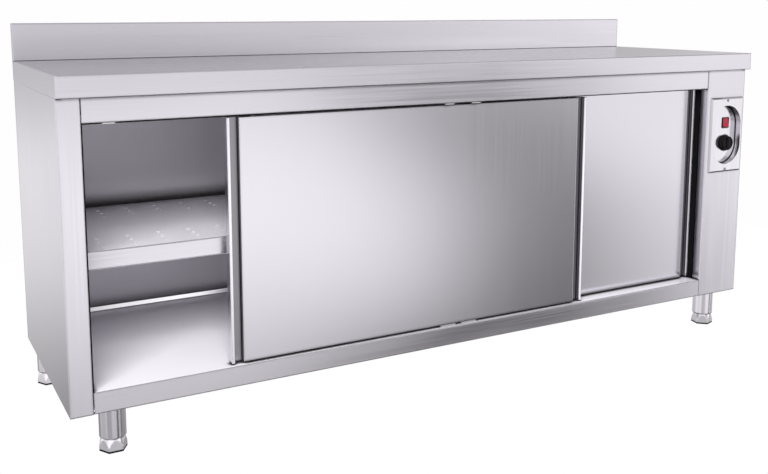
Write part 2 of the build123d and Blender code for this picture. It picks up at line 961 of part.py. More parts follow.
# Pressed plate with bevelled edges and an upright stadium-shaped dish for the controls.
with BuildPart() as control_plate:
    bevel_foot = plate_sheet / sin(radians(plate_bevel))
    with BuildSketch(Plane.XZ.offset(-body_front)):
        with Locations((plate_middle, plate_center_height)):
            Rectangle(plate_width, plate_height)
    extrude(amount=plate_rise, taper=plate_bevel)
    with BuildSketch(Plane.XZ.offset(-body_front)):
        with Locations((plate_middle, plate_center_height)):
            Rectangle(plate_width - 2 * bevel_foot, plate_height - 2 * bevel_foot)
    extrude(amount=plate_rise - plate_sheet, taper=plate_bevel, mode=Mode.SUBTRACT)
    with BuildSketch(Plane.XZ.offset(-plate_front)):
        with Locations((plate_middle, plate_center_height)):
            SlotOverall(dish_height + 2 * plate_sheet, dish_width + 2 * plate_sheet, rotation=90)
    extrude(amount=-(dish_depth + plate_sheet))
    with BuildSketch(Plane.XZ.offset(-plate_front)):
        with Locations((plate_middle, plate_center_height)):
            SlotOverall(dish_height, dish_width, rotation=90)
    extrude(amount=-dish_depth, mode=Mode.SUBTRACT)
    with BuildSketch(Plane.XZ.offset(-plate_front)):
        with Locations((plate_middle, plate_center_height)):
            with GridLocations(0, plate_height - 2 * plate_screw_inset, 1, 2):
                RegularPolygon(screw_radius + screw_clearance, small_sides, major_radius=False)
    extrude(amount=-plate_sheet, mode=Mode.SUBTRACT)
    with BuildSketch(Plane.XZ.offset(-dish_floor)):
        with Locations((controls_middle, switch_level)):
            Rectangle(switch_width - 2 * switch_body_inset, switch_height - 2 * switch_body_inset)
        with Locations((controls_middle, knob_level)):
            RegularPolygon(shaft_radius + shaft_hole_clearance, small_sides, major_radius=False)
    extrude(amount=-plate_sheet, mode=Mode.SUBTRACT)
finish(control_plate, "control_plate")

with BuildPart() as control_plate_screws:
    with BuildSketch(Plane.XZ.offset(-plate_front)):
        with Locations((plate_middle, plate_center_height)):
            with GridLocations(0, plate_height - 2 * plate_screw_inset, 1, 2):
                RegularPolygon(screw_head_radius, small_sides)
    extrude(amount=screw_head_height)
    chamfer(control_plate_screws.faces().group_by(Axis.Y)[0].edges(), length=screw_head_height / 3)
    with BuildSketch(Plane.XZ.offset(-plate_front)):
        with Locations((plate_middle, plate_center_height)):
            with GridLocations(0, plate_height - 2 * plate_screw_inset, 1, 2):
                RegularPolygon(screw_radius, small_sides)
    extrude(amount=-screw_length)
finish(control_plate_screws, "control_plate_screws")

# ---- Switch -----------------------------------------------------------------------------

with BuildPart() as switch_frame:
    with BuildSketch(Plane.XZ.offset(-dish_floor)):
        with Locations((controls_middle, switch_level)):
            Rectangle(switch_width, switch_height)
    extrude(amount=switch_rim)
    with BuildSketch(Plane.XZ.offset(-dish_floor)):
        with Locations((controls_middle, switch_level)):
            Rectangle(switch_width - 2 * switch_body_inset, switch_height - 2 * switch_body_inset)
    extrude(amount=-switch_body_depth)
    with BuildSketch(Plane.XZ.offset(-(dish_floor - switch_rim))):
        with Locations((controls_middle, switch_level)):
            Rectangle(switch_width - 2 * switch_rim, switch_height - 2 * switch_rim)
    extrude(amount=-(switch_rim + switch_body_depth - switch_wall), mode=Mode.SUBTRACT)
finish(switch_frame, "switch_frame")

# Rocker with a shallow valley, drawn tipped to its off side about its pivot.
rocker_width = switch_width - 2 * switch_rim - 2 * rocker_gap
rocker_reach = switch_height / 2 - switch_rim - rocker_gap
rocker_pivot = dish_floor - switch_rim + rocker_pivot_depth
with BuildPart() as switch_rocker:
    with BuildSketch(Plane.YZ.offset(controls_middle - rocker_width / 2)) as profile:
        with Locations((rocker_pivot, switch_level)):
            Circle(rocker_reach)
        with BuildSketch(mode=Mode.PRIVATE) as outline:
            crown = rocker_valley + rocker_reach * sin(radians(rocker_tilt))
            with BuildLine():
                Polyline(
                    (rocker_back, -rocker_reach),
                    (-crown, -rocker_reach),
                    (-rocker_valley, 0),
                    (-crown, rocker_reach),
                    (rocker_back, rocker_reach),
                    close=True,
                )
            make_face()
        with Locations((rocker_pivot, switch_level)):
            add(outline.sketch, rotation=-rocker_tilt, mode=Mode.INTERSECT)
    extrude(amount=rocker_width)
finish(switch_rocker, "switch_rocker")

# ---- Thermostat -------------------------------------------------------------------------

knob_base = dish_floor - knob_gap
knob_face = knob_base - knob_length
# Ribbed knob on a round skirt, with a grip bar that rises out of its face as the pointer.
with BuildPart() as thermostat_knob:
    with BuildSketch(Plane.XZ.offset(-knob_base)):
        with Locations((controls_middle, knob_level)):
            RegularPolygon(knob_skirt_radius, knob_sides)
    extrude(amount=knob_skirt_height)
    chamfer(thermostat_knob.faces().sort_by(Axis.Y)[0].edges(), length=knob_edge)
    with BuildSketch(Plane.XZ.offset(-knob_base)):
        with Locations((controls_middle, knob_level)):
            RegularPolygon(knob_radius, knob_sides)
    extrude(amount=knob_length - grip_bar_rise)
    chamfer(thermostat_knob.faces().sort_by(Axis.Y)[0].edges(), length=knob_edge)
    with BuildSketch(Plane.XZ.offset(-(knob_face + grip_bar_rise))):
        with Locations((controls_middle, knob_level)):
            Rectangle(grip_bar_width, grip_bar_length)
    extrude(amount=grip_bar_rise)
    bar_face = thermostat_knob.faces().sort_by(Axis.Y)[0]
    chamfer(bar_face.edges().filter_by(Axis.Z), length=knob_edge)
    with BuildSketch(Plane.XZ.offset(-knob_base)):
        with Locations((controls_middle, knob_level)):
            RegularPolygon(shaft_radius + shaft_clearance, small_sides, major_radius=False)
    extrude(amount=knob_bore_depth, mode=Mode.SUBTRACT)
finish(thermostat_knob, "thermostat_knob")

shaft_end = dish_back + shaft_seat
with BuildPart() as thermostat_shaft:
    with BuildSketch(Plane.XZ.offset(-shaft_end)):
        with Locations((controls_middle, knob_level)):
            RegularPolygon(shaft_radius, small_sides)
    extrude(amount=shaft_length)
finish(thermostat_shaft, "thermostat_shaft")

with BuildPart() as thermostat_body:
    with BuildSketch(Plane.XZ.offset(-dish_back)):
        with Locations((controls_middle, knob_level)):
            Rectangle(thermostat_width, thermostat_height)
    extrude(amount=-thermostat_depth)
    with BuildSketch(Plane.XZ.offset(-dish_back)):
        with Locations((controls_middle, knob_level)):
            RegularPolygon(shaft_radius + shaft_clearance, small_sides, major_radius=False)
    extrude(amount=-shaft_seat, mode=Mode.SUBTRACT)
finish(thermostat_body, "thermostat_body")

# ---- Heating unit in the column ---------------------------------------------------------

element_x = (casing_side + casing_outer) / 2

# Flanged box over the slotted part of the lining.
with BuildPart() as heater_casing:
    casing_middle_z = casing_bottom + casing_height / 2
    with BuildSketch(Plane.YZ.offset(casing_side)):
        with Locations((casing_middle, casing_middle_z)):
            Rectangle(casing_depth, casing_height)
    extrude(amount=casing_width)
    offset(amount=-liner_sheet, openings=heater_casing.faces().sort_by(Axis.X)[0])
    with BuildSketch(Plane.YZ.offset(casing_side)):
        with Locations((casing_middle, casing_middle_z)):
            Rectangle(casing_depth + 2 * flange_width, casing_height + 2 * flange_width)
            Rectangle(
                casing_depth - 2 * liner_sheet,
                casing_height - 2 * liner_sheet,
                mode=Mode.SUBTRACT,
            )
    extrude(amount=liner_sheet)
    with BuildSketch(Plane.YZ.offset(casing_outer)):
        with Locations((casing_middle, fan_height)):
            RegularPolygon(fan_shaft_radius + fan_shaft_hole_clearance, small_sides, major_radius=False)
    extrude(amount=-liner_sheet, mode=Mode.SUBTRACT)
    with BuildSketch(Plane.XZ.offset(-casing_front)):
        with Locations((element_x, element_level)):
            with GridLocations(0, element_pitch, 1, 2):
                RegularPolygon(element_radius + element_hole_clearance, small_sides, major_radius=False)
    extrude(amount=-casing_depth, mode=Mode.SUBTRACT)
finish(heater_casing, "heater_casing")

# Two straight tubular elements across the air stream, held in the front and back walls.
with BuildPart() as heating_element:
    with BuildSketch(Plane.XZ.offset(-(casing_front - element_end_length))):
        with Locations((element_x, element_level)):
            with GridLocations(0, element_pitch, 1, 2):
                RegularPolygon(element_radius, small_sides)
    extrude(amount=-(casing_depth + 2 * element_end_length))
finish(heating_element, "heating_element")

with BuildPart() as fan_motor:
    with BuildSketch(Plane.YZ.offset(casing_outer)):
        with Locations((casing_middle, fan_height)):
            RegularPolygon(motor_radius, 2 * small_sides)
    extrude(amount=motor_length)
    chamfer(fan_motor.faces().sort_by(Axis.X)[-1].edges(), length=motor_edge)
    with BuildSketch(Plane.YZ.offset(casing_outer)):
        with Locations((casing_middle, fan_height)):
            RegularPolygon(fan_shaft_radius + fan_shaft_clearance, small_sides, major_radius=False)
    extrude(amount=motor_length - motor_edge, mode=Mode.SUBTRACT)
finish(fan_motor, "fan_motor")

fan_back = casing_outer - liner_sheet - fan_wall_gap
with BuildPart() as fan_wheel:
    with BuildSketch(Plane.YZ.offset(fan_back)):
        with Locations((casing_middle, fan_height)):
            RegularPolygon(fan_radius, 2 * small_sides)
    extrude(amount=-fan_plate)
    with BuildSketch(Plane.YZ.offset(fan_back)):
        with Locations((casing_middle, fan_height)):
            RegularPolygon(fan_hub_radius, small_sides)
            with PolarLocations(fan_radius - fan_blade_length / 2, fan_blades):
                Rectangle(fan_blade_length, fan_blade_thickness, rotation=fan_blade_angle)
    extrude(amount=-(fan_plate + fan_blade_width))
    with BuildSketch(Plane.YZ.offset(fan_back)):
        with Locations((casing_middle, fan_height)):
            RegularPolygon(fan_shaft_radius, small_sides)
    extrude(amount=fan_wall_gap + liner_sheet + motor_length - 2 * motor_edge)
finish(fan_wheel, "fan_wheel")

# Supply terminals on the floor of the column.
with BuildPart() as terminal_block:
    with BuildSketch(Plane.XY.offset(base_top)):
        with Locations((column_middle, casing_back)):
            Rectangle(terminal_length, terminal_width)
    extrude(amount=terminal_height)
    with BuildSketch(Plane.XY.offset(base_top + terminal_height)):
        with Locations((column_middle, casing_back)):
            with GridLocations(terminal_length / terminal_posts, 0, terminal_posts, 1):
                RegularPolygon(terminal_post_radius, small_sides)
    extrude(amount=terminal_post_height)
finish(terminal_block, "terminal_block")

# ---- Cable gland ------------------------------------------------------------------------

gland_place = (body_right - gland_side_inset, back - gland_back_inset)
with BuildPart() as cable_gland:
    with BuildSketch(Plane.XY.offset(underside_height)):
        with Locations(gland_place):
            RegularPolygon(gland_hex_across / 2, 6, major_radius=False)
    extrude(amount=-gland_hex_height)
    with BuildSketch(Plane.XY.offset(underside_height)):
        with Locations(gland_place):
            RegularPolygon(gland_cap_radius, 2 * small_sides)
    extrude(amount=-(gland_hex_height + gland_cap_length))
    with BuildSketch(Plane.XY.offset(underside_height)):
        with Locations(gland_place):
            RegularPolygon(gland_thread_radius, small_sides)
    extrude(amount=sheet + 1.5 * gland_hex_height)
    with BuildSketch(Plane.XY.offset(underside_height - gland_hex_height - gland_cap_length)):
        with Locations(gland_place):
            Circle(gland_bore)
    extrude(amount=gland_cap_length + 3 * gland_hex_height, mode=Mode.SUBTRACT)
finish(cable_gland, "cable_gland")

with BuildPart() as gland_nut:
    with BuildSketch(Plane.XY.offset(base_top)):
        with Locations(gland_place):
            RegularPolygon(gland_hex_across / 2, 6, major_radius=False)
            RegularPolygon(
                gland_thread_radius + axle_clearance,
                small_sides,
                major_radius=False,
                mode=Mode.SUBTRACT,
            )
    extrude(amount=gland_hex_height)
finish(gland_nut, "gland_nut")

# ---- Legs and feet ----------------------------------------------------------------------

with BuildPart() as leg_plates:
    with BuildSketch(Plane.XY.offset(plate_bottom)):
        for leg_place in leg_places.values():
            with Locations(leg_place):
                Rectangle(leg_plate_length, leg_plate_width)
        add(bolt_holes(), mode=Mode.SUBTRACT)
    extrude(amount=leg_plate_thickness)
finish(leg_plates, "leg_plates")

# Hexagon-headed screws driven up through the plates into the base sheets.
with BuildPart() as leg_bolts:
    for leg_place in leg_places.values():
        with BuildSketch(Plane.XY.offset(plate_bottom)):
            with Locations(leg_place):
                with GridLocations(leg_bolt_pitch, 0, 2, 1):
                    RegularPolygon(bolt_head_across / 2, 6, major_radius=False)
        extrude(amount=-bolt_head_height)
        with BuildSketch(Plane.XY.offset(plate_bottom)):
            with Locations(leg_place):
                with GridLocations(leg_bolt_pitch, 0, 2, 1):
                    RegularPolygon(bolt_radius, small_sides)
        extrude(amount=leg_plate_thickness + sheet + bolt_point)
finish(leg_bolts, "leg_bolts")

with BuildPart() as leg_tubes:
    with BuildSketch(Plane.XY.offset(tube_bottom)):
        for leg_place in leg_places.values():
            with Locations(leg_place):
                Circle(leg_radius)
                Circle(leg_radius - leg_wall, mode=Mode.SUBTRACT)
    extrude(amount=plate_bottom - tube_bottom)
finish(leg_tubes, "leg_tubes")

with BuildPart() as leg_inserts:
    with BuildSketch(Plane.XY.offset(tube_bottom)):
        for leg_place in leg_places.values():
            with Locations(leg_place):
                RegularPolygon(leg_radius - leg_wall, small_sides)
                RegularPolygon(
                    stem_radius + stem_clearance,
                    small_sides,
                    major_radius=False,
                    mode=Mode.SUBTRACT,
                )
    extrude(amount=insert_height)
finish(leg_inserts, "leg_inserts")


def foot(x, y, turn):
    """Hexagonal levelling foot, its corners turned down to a cone, with its threaded stem."""
    cone_slope = (foot_radius - foot_crown_radius) / (foot_height - foot_straight)
    cone_radius = foot_radius + (foot_straight - foot_pad) * cone_slope
    with BuildPart() as piece:
        with BuildSketch(Plane.XY.offset(foot_pad)):
            with Locations((x, y)):
                RegularPolygon(foot_radius, 6, rotation=turn)
        extrude(amount=foot_height - foot_pad)
        with BuildSketch(Plane.XY.offset(foot_pad)):
            with Locations((x, y)):
                RegularPolygon(cone_radius, foot_facets, rotation=turn)
        extrude(amount=foot_height - foot_pad, taper=degrees(atan(cone_slope)), mode=Mode.INTERSECT)
        with BuildSketch(Plane.XY.offset(foot_height)):
            with Locations((x, y)):
                RegularPolygon(stem_radius, small_sides)
        extrude(amount=stem_length)
    return piece


def foot_sole(x, y, turn):
    """Non-slip sole under a foot."""
    with BuildPart() as sole:
        with BuildSketch():
            with Locations((x, y)):
                RegularPolygon(foot_radius, 6, rotation=turn)
        extrude(amount=foot_pad)
    return sole


for corner, (leg_x, leg_y) in leg_places.items():
    foot_turn = front_right_foot_turn if corner == "front_right" else 0
    finish(foot(leg_x, leg_y, foot_turn), f"foot_{corner}")
    finish(foot_sole(leg_x, leg_y, foot_turn), f"foot_pad_{corner}")
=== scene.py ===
import bpy
import bmesh
import json
from math import cos, pi, radians, sin
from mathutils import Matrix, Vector


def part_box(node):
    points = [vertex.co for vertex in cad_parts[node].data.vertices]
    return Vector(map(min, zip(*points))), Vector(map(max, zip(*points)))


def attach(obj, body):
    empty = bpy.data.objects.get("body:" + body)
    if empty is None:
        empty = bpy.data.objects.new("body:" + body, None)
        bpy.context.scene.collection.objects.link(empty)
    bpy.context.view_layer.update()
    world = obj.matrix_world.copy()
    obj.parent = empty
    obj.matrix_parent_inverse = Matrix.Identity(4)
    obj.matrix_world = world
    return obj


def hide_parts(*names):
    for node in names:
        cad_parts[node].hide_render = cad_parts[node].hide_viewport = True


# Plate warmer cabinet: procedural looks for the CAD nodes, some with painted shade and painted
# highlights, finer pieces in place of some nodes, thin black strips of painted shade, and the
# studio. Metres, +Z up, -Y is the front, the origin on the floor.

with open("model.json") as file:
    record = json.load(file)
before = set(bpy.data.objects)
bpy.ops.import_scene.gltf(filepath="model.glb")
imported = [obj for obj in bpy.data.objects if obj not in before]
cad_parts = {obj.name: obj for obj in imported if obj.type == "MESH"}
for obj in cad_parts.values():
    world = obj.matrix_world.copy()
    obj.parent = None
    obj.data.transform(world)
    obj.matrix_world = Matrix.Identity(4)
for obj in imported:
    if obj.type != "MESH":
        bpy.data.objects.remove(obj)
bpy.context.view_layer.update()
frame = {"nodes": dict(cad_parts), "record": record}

floor_low, floor_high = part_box("floor_pan")
shelf_low, shelf_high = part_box("shelf")
front_low, front_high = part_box("front_door_skin")
rear_low, rear_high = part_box("rear_door_skin")
opening_left, _, opening_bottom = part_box("door_buffers")[0]

# ---------------------------------------------------------------- node helpers


class Nodes:
    """Small helper that adds nodes to a tree and links them."""

    def __init__(self, tree):
        self.tree = tree
        tree.nodes.clear()

    def add(self, kind, inputs=(), **settings):
        node = self.tree.nodes.new(kind)
        for key, value in settings.items():
            setattr(node, key, value)
        for key, value in dict(inputs).items():
            self.feed(node.inputs[key], value)
        return node

    def feed(self, socket, value):
        if isinstance(value, bpy.types.NodeSocket):
            self.tree.links.new(value, socket)
        else:
            socket.default_value = value

    def math(self, operation, a, b=0.0, c=0.0):
        node = self.add("ShaderNodeMath", {0: a, 1: b, 2: c}, operation=operation)
        return node.outputs[0]

    def vector(self, operation, inputs):
        return self.add("ShaderNodeVectorMath", inputs, operation=operation).outputs[0]

    def noise(self, place, scale, detail):
        inputs = {"Vector": place, "Scale": scale, "Detail": detail}
        return self.add("ShaderNodeTexNoise", inputs).outputs[0]

    def step(self, value, low, high, out_low=0.0, out_high=1.0):
        """Smooth step from out_low at low to out_high at high."""
        inputs = {0: value, 1: low, 2: high, 3: out_low, 4: out_high}
        return self.add("ShaderNodeMapRange", inputs, interpolation_type="SMOOTHSTEP").outputs[0]

    def steps(self, value, *rows):
        """Product of smooth steps of one value, each given as low, high, out_low, out_high."""
        result = self.step(value, *rows[0])
        for row in rows[1:]:
            result = self.math("MULTIPLY", result, self.step(value, *row))
        return result


# ---------------------------------------------------------------- looks

ALONG_X, ALONG_Z = 0, 2  # the way a sheet is brushed
STREAKS_ACROSS = 240.0  # brush streaks per metre
STREAKS_ALONG = 2.5
CLOUDS = 3.0  # soft patches per metre
CLOUD_SHARE = 0.35  # the patches' share of the tone, the streaks have the rest
STEEL_NOISE = (0.25, 0.75)  # range of the noise that is spread over the tone
GRAIN_NOISE = (0.3, 0.7)
PAINTED_SHADE_OPENNESS = (0.6, 0.93)  # ambient occlusion up to which the painted shade is full, and from which it is gone
PAINTED_SHADE_TONE = (0.03, 1.0)  # what is left of the tone in the painted shade, and clear of it
STEEL_BUMP = 0.001
GRAIN_BUMP = 0.0005
NO_BOW = (0.0, 0.0, 1.0, 0.0)


def shader(name):
    """New material with a Principled shader on its output."""
    material = bpy.data.materials.new(name)
    material.use_nodes = True
    nodes = Nodes(material.node_tree)
    output = nodes.add("ShaderNodeOutputMaterial")
    bsdf = nodes.add("ShaderNodeBsdfPrincipled")
    nodes.tree.links.new(bsdf.outputs[0], output.inputs[0])
    return material, nodes, bsdf


def brushed(name, colour, roughness, along, spread=0.05, tone=0.05, relief=0.02, edge=0.0025,
            metallic=1.0, painted_shade_reach=0.006, bow=NO_BOW, tip=0.0):
    """Brushed steel: fine streaks along one axis vary the tone, the roughness and the relief.

    Painted shade: the base colour darkens by ambient occlusion where another piece is
    within the painted shade reach. A bow is the sheet's sideways lean at two places along
    its width: (x, lean, x, lean). The tip is its lean upwards.
    """
    material, nodes, bsdf = shader(name)
    place = nodes.add("ShaderNodeTexCoord").outputs["Object"]
    scale = [STREAKS_ACROSS] * 3
    scale[along] = STREAKS_ALONG
    streaks = nodes.add("ShaderNodeMapping", {"Vector": place, "Scale": scale}).outputs[0]
    fine = nodes.noise(streaks, scale=1.0, detail=4.0)
    cloud = nodes.noise(place, scale=CLOUDS, detail=1.0)
    fine_share = nodes.math("MULTIPLY", fine, 1.0 - CLOUD_SHARE)
    mixed = nodes.math("MULTIPLY_ADD", cloud, CLOUD_SHARE, fine_share)

    level = nodes.step(mixed, *STEEL_NOISE, 1.0 - tone, 1.0 + tone)
    # Painted shade: ambient occlusion darkens the base colour near other pieces
    occlusion = nodes.add("ShaderNodeAmbientOcclusion", {"Distance": painted_shade_reach}, samples=8)
    openness = occlusion.outputs["AO"]
    level = nodes.math("MULTIPLY", level, nodes.step(openness, *PAINTED_SHADE_OPENNESS, *PAINTED_SHADE_TONE))
    nodes.feed(bsdf.inputs["Base Color"], nodes.vector("SCALE", {0: colour, "Scale": level}))
    nodes.feed(bsdf.inputs["Metallic"], metallic)
    rough = nodes.step(mixed, *STEEL_NOISE, roughness - spread, roughness + spread)
    nodes.feed(bsdf.inputs["Roughness"], rough)

    rounded = nodes.add("ShaderNodeBevel", {"Radius": edge}, samples=6).outputs[0]
    across = nodes.add("ShaderNodeSeparateXYZ", {0: place}).outputs[0]
    low, low_lean, high, high_lean = bow
    inputs = {0: across, 1: low, 2: high, 3: low_lean, 4: high_lean}
    lean = nodes.add("ShaderNodeMapRange", inputs).outputs[0]
    lean = nodes.add("ShaderNodeCombineXYZ", {0: lean, 2: tip}).outputs[0]
    rounded = nodes.vector("NORMALIZE", {0: nodes.vector("ADD", {0: rounded, 1: lean})})
    inputs = {"Strength": relief, "Distance": STEEL_BUMP, "Height": fine, "Normal": rounded}
    nodes.feed(bsdf.inputs["Normal"], nodes.add("ShaderNodeBump", inputs).outputs[0])
    return material


def moulded(name, colour, roughness, grain=400.0, relief=0.05, variation=0.1, shine=0.5):
    """Plastic, rubber or board: an even colour with a fine grain."""
    material, nodes, bsdf = shader(name)
    nodes.feed(bsdf.inputs["Specular IOR Level"], shine)
    place = nodes.add("ShaderNodeTexCoord").outputs["Object"]
    noise = nodes.noise(place, scale=grain, detail=3.0)
    level = nodes.step(noise, *GRAIN_NOISE, 1.0 - variation, 1.0 + variation)
    nodes.feed(bsdf.inputs["Base Color"], nodes.vector("SCALE", {0: colour, "Scale": level}))
    nodes.feed(bsdf.inputs["Roughness"], roughness)
    inputs = {"Strength": relief, "Distance": GRAIN_BUMP, "Height": noise}
    nodes.feed(bsdf.inputs["Normal"], nodes.add("ShaderNodeBump", inputs).outputs[0])
    return material


STEEL = (0.735, 0.717, 0.765)
# Painted highlight: paler than the steel, for the bright fold lines on the door lips
LIP_HIGHLIGHT_TONE = (0.92, 0.9, 0.95)

# The looks of the record's material slots
LOOKS = {
    "worktop_stainless": brushed(
        "Worktop steel", STEEL, 0.24, ALONG_X, tone=0.03, relief=0.012, edge=0.0035, painted_shade_reach=0.003
    ),
    "body_stainless": brushed(
        "Body steel", STEEL, 0.2, ALONG_X,
        spread=0.04, tone=0.02, relief=0.008, edge=0.005, painted_shade_reach=0.013,
    ),
    "door_stainless": brushed(
        "Front door steel", STEEL, 0.19, ALONG_Z,
        spread=0.01, tone=0.006, relief=0.0, painted_shade_reach=0.012,
        bow=(front_low.x, 0.0, front_high.x, -0.03),
    ),
    "liner_stainless": brushed(
        "Lining steel", (0.84, 0.82, 0.866), 0.34, ALONG_X,
        tone=0.02, relief=0.01, metallic=0.6, painted_shade_reach=0.01,
    ),
    "leg_satin": brushed("Leg steel", STEEL, 0.2, ALONG_Z, relief=0.02, painted_shade_reach=0.016),
    "foot_polished": brushed(
        "Foot steel", (0.8, 0.783, 0.825), 0.14, ALONG_Z, tone=0.02, relief=0.01
    ),
    "steel_bright": brushed("Bright steel", (0.75, 0.735, 0.775), 0.2, ALONG_X),
    "steel_zinc": brushed("Zinc plated steel", (0.6, 0.61, 0.63), 0.38, ALONG_X, tone=0.1),
    "aluminium_mill": brushed("Mill aluminium", (0.75, 0.76, 0.77), 0.34, ALONG_X),
    "core_board": moulded(
        "Core board", (0.48, 0.36, 0.24), 0.8, grain=60.0, relief=0.2, variation=0.2
    ),
    "insulation": moulded(
        "Insulation", (0.7, 0.64, 0.45), 0.95, grain=90.0, relief=0.5, variation=0.2
    ),
    "rubber_black": moulded("Black rubber", (0.004, 0.004, 0.0045), 0.8, shine=0.15),
    "buffer_black": moulded("Black buffer", (0.003, 0.003, 0.0035), 0.8, shine=0.1),
    "plastic_black": moulded("Black plastic", (0.003, 0.003, 0.0035), 0.22, shine=0.16),
    "plastic_grey": moulded("Grey plastic", (0.12, 0.12, 0.125), 0.5),
    "rocker_red": moulded(
        "Red rocker", (0.22, 0.008, 0.02), 0.3, grain=300.0, relief=0.02, variation=0.15
    ),
    "nylon_white": moulded("White nylon", (0.2, 0.195, 0.195), 0.6, shine=0.3),
}

# The looks of single nodes and of single faces of a node
UPRIGHT = brushed(
    "Upright steel", STEEL, 0.22, ALONG_Z, tone=0.015, relief=0.006, edge=0.0045, painted_shade_reach=0.012
)
REAR_DOOR = brushed(
    "Rear door steel", STEEL, 0.19, ALONG_Z,
    spread=0.01, tone=0.006, relief=0.0, edge=0.0008, painted_shade_reach=0.02,
    bow=(rear_low.x, 0.07, rear_high.x, 0.01),
)
BACK_LINER = brushed(
    "Back lining steel", (0.9, 0.875, 0.93), 0.65, ALONG_X,
    tone=0.02, relief=0.0, metallic=0.25, painted_shade_reach=0.06,
)
FLOOR_LINER = brushed(
    "Floor lining steel", (0.86, 0.842, 0.885), 0.3, ALONG_X,
    spread=0.02, tone=0.01, relief=0.0, metallic=0.5, painted_shade_reach=0.016,
)
PLATE = brushed(
    "Control plate steel", (0.78, 0.763, 0.805), 0.2, ALONG_Z, tone=0.01, relief=0.004, edge=0.0005
)
# Painted highlight: the floor's rear fold is a paler, fully metallic copy of the lining steel, so
# it reads as a bright line; its normal also leans up and left
FOLD_HIGHLIGHT = brushed(
    "Rear fold steel with painted highlight", (0.95, 0.94, 0.97), 0.2, ALONG_X,
    relief=0.0, edge=0.0005, painted_shade_reach=0.0002, bow=(opening_left, 0.0, -0.6, -0.3), tip=0.22,
)
RIM = brushed(
    "Hole rim steel", (0.66, 0.65, 0.68), 0.4, ALONG_X,
    relief=0.0, edge=0.0002, metallic=0.4, painted_shade_reach=0.0002,
)
LIP = brushed(
    "Lip steel", STEEL, 0.22, ALONG_X,
    tone=0.02, relief=0.008, bow=(shelf_low.x, 0.18, front_low.x, -0.2),
)
# Painted shade: a much darker copy of the door steel in the recessed finger channels
CHANNEL_SHADE = brushed(
    "Channel steel with painted shade", (0.34, 0.332, 0.354), 0.3, ALONG_Z, tone=0.04, relief=0.0, painted_shade_reach=0.004
)
# Painted highlight: the door lips are a paler copy of the door steel
LIP_LEFT_HIGHLIGHT = brushed(
    "Left door lip steel with painted highlight", LIP_HIGHLIGHT_TONE, 0.2, ALONG_Z, tone=0.01, relief=0.0, painted_shade_reach=0.003
)
LIP_RIGHT_HIGHLIGHT = brushed(
    "Right door lip steel with painted highlight", LIP_HIGHLIGHT_TONE, 0.2, ALONG_Z,
    tone=0.01, relief=0.0, painted_shade_reach=0.003, bow=(-1.0, -0.25, 1.0, -0.25),
)
NODE_LOOKS = {
    "side_panel_left": UPRIGHT,
    "side_panel_right": UPRIGHT,
    "back_panel": UPRIGHT,
    "rear_door_skin": REAR_DOOR,
    "back_liner": BACK_LINER,
    "floor_pan": FLOOR_LINER,
    "control_plate": PLATE,
}

# An edge that turns by less than its corner, in degrees, is shaded as a curve
NODE_CORNER = 35.0
PIECE_CORNER = 40.0
FOOT_CORNER = 9.0

FRONT_REACH = 0.002  # faces this close to the front of a node are its front face
UPTURN_REACH = 0.0044  # and this close to the rear of the floor, its upturn
HOLE_MARGIN = 0.010  # the shelf's holes are further in than this
LIP_WIDTH = 0.0069  # from the end of a door to just short of its channel
CHANNEL_END = 0.030  # from the end of a door to the inner wall of its channel
HAIR = 0.000001  # takes a face that is on a limit in, or leaves it out
DOOR_SHEET = 0.0012
FACING = 0.7  # of a normal, where a face points that way
UPRIGHT_FACE = 0.3  # at most this much of its normal points up


def smooth_curves(mesh, corner):
    """Smooth shading over the curves, with the real corners kept sharp."""
    shape = bmesh.new()
    shape.from_mesh(mesh)
    for face in shape.faces:
        face.smooth = True
    for edge in shape.edges:
        edge.smooth = len(edge.link_faces) == 2 and edge.calc_face_angle() < radians(corner)
    shape.to_mesh(mesh)
    shape.free()


def dress(name, look, chosen):
    """Gives the chosen faces of a node their own look."""
    mesh = frame["nodes"][name].data
    mesh.materials.append(look)
    for polygon in mesh.polygons:
        if chosen(polygon.center, polygon.normal):
            polygon.material_index = len(mesh.materials) - 1


def dress_door(name, left_end, right_end):
    """Painted shade in the finger channels, with their ends as given, and painted highlight on the
    lips of a door's skin.
    """
    low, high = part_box(name)
    inside = low.y + DOOR_SHEET
    dress(name, CHANNEL_SHADE, lambda place, normal: place.y > inside
          and LIP_WIDTH < place.x - low.x < left_end)
    dress(name, CHANNEL_SHADE, lambda place, normal: place.y > inside
          and LIP_WIDTH < high.x - place.x < right_end)
    dress(name, LIP_LEFT_HIGHLIGHT, lambda place, normal: place.y < inside
          and place.x - low.x < LIP_WIDTH)
    dress(name, LIP_RIGHT_HIGHLIGHT, lambda place, normal: place.y < inside
          and high.x - place.x < LIP_WIDTH)


for part in frame["record"]["subparts"]:
    mesh = frame["nodes"][part["node"]].data
    mesh.materials.clear()
    mesh.materials.append(NODE_LOOKS.get(part["node"], LOOKS[part["material_slot"]]))
    smooth_curves(mesh, NODE_CORNER)

dress("floor_pan", LOOKS["body_stainless"],
      lambda place, normal: place.y < floor_low.y + FRONT_REACH)
dress("floor_pan", FOLD_HIGHLIGHT, lambda place, normal: normal.y < -FACING
      and place.y > floor_high.y - UPTURN_REACH)
dress("shelf", LIP, lambda place, normal: place.y < shelf_low.y + FRONT_REACH)
dress("shelf", RIM, lambda place, normal: abs(normal.z) < UPRIGHT_FACE
      and shelf_low.y + HOLE_MARGIN < place.y < shelf_high.y - HOLE_MARGIN
      and place.x > shelf_low.x + HOLE_MARGIN)
# Where the doors overlap, the inner wall of the channel gets the painted shade too
dress_door("front_door_skin", CHANNEL_END - HAIR, CHANNEL_END + HAIR)
dress_door("rear_door_skin", CHANNEL_END + HAIR, CHANNEL_END - HAIR)

# ---------------------------------------------------------------- finer pieces


def turns(count):
    """Angles of evenly spaced points round a circle."""
    return [2 * pi * i / count for i in range(count)]


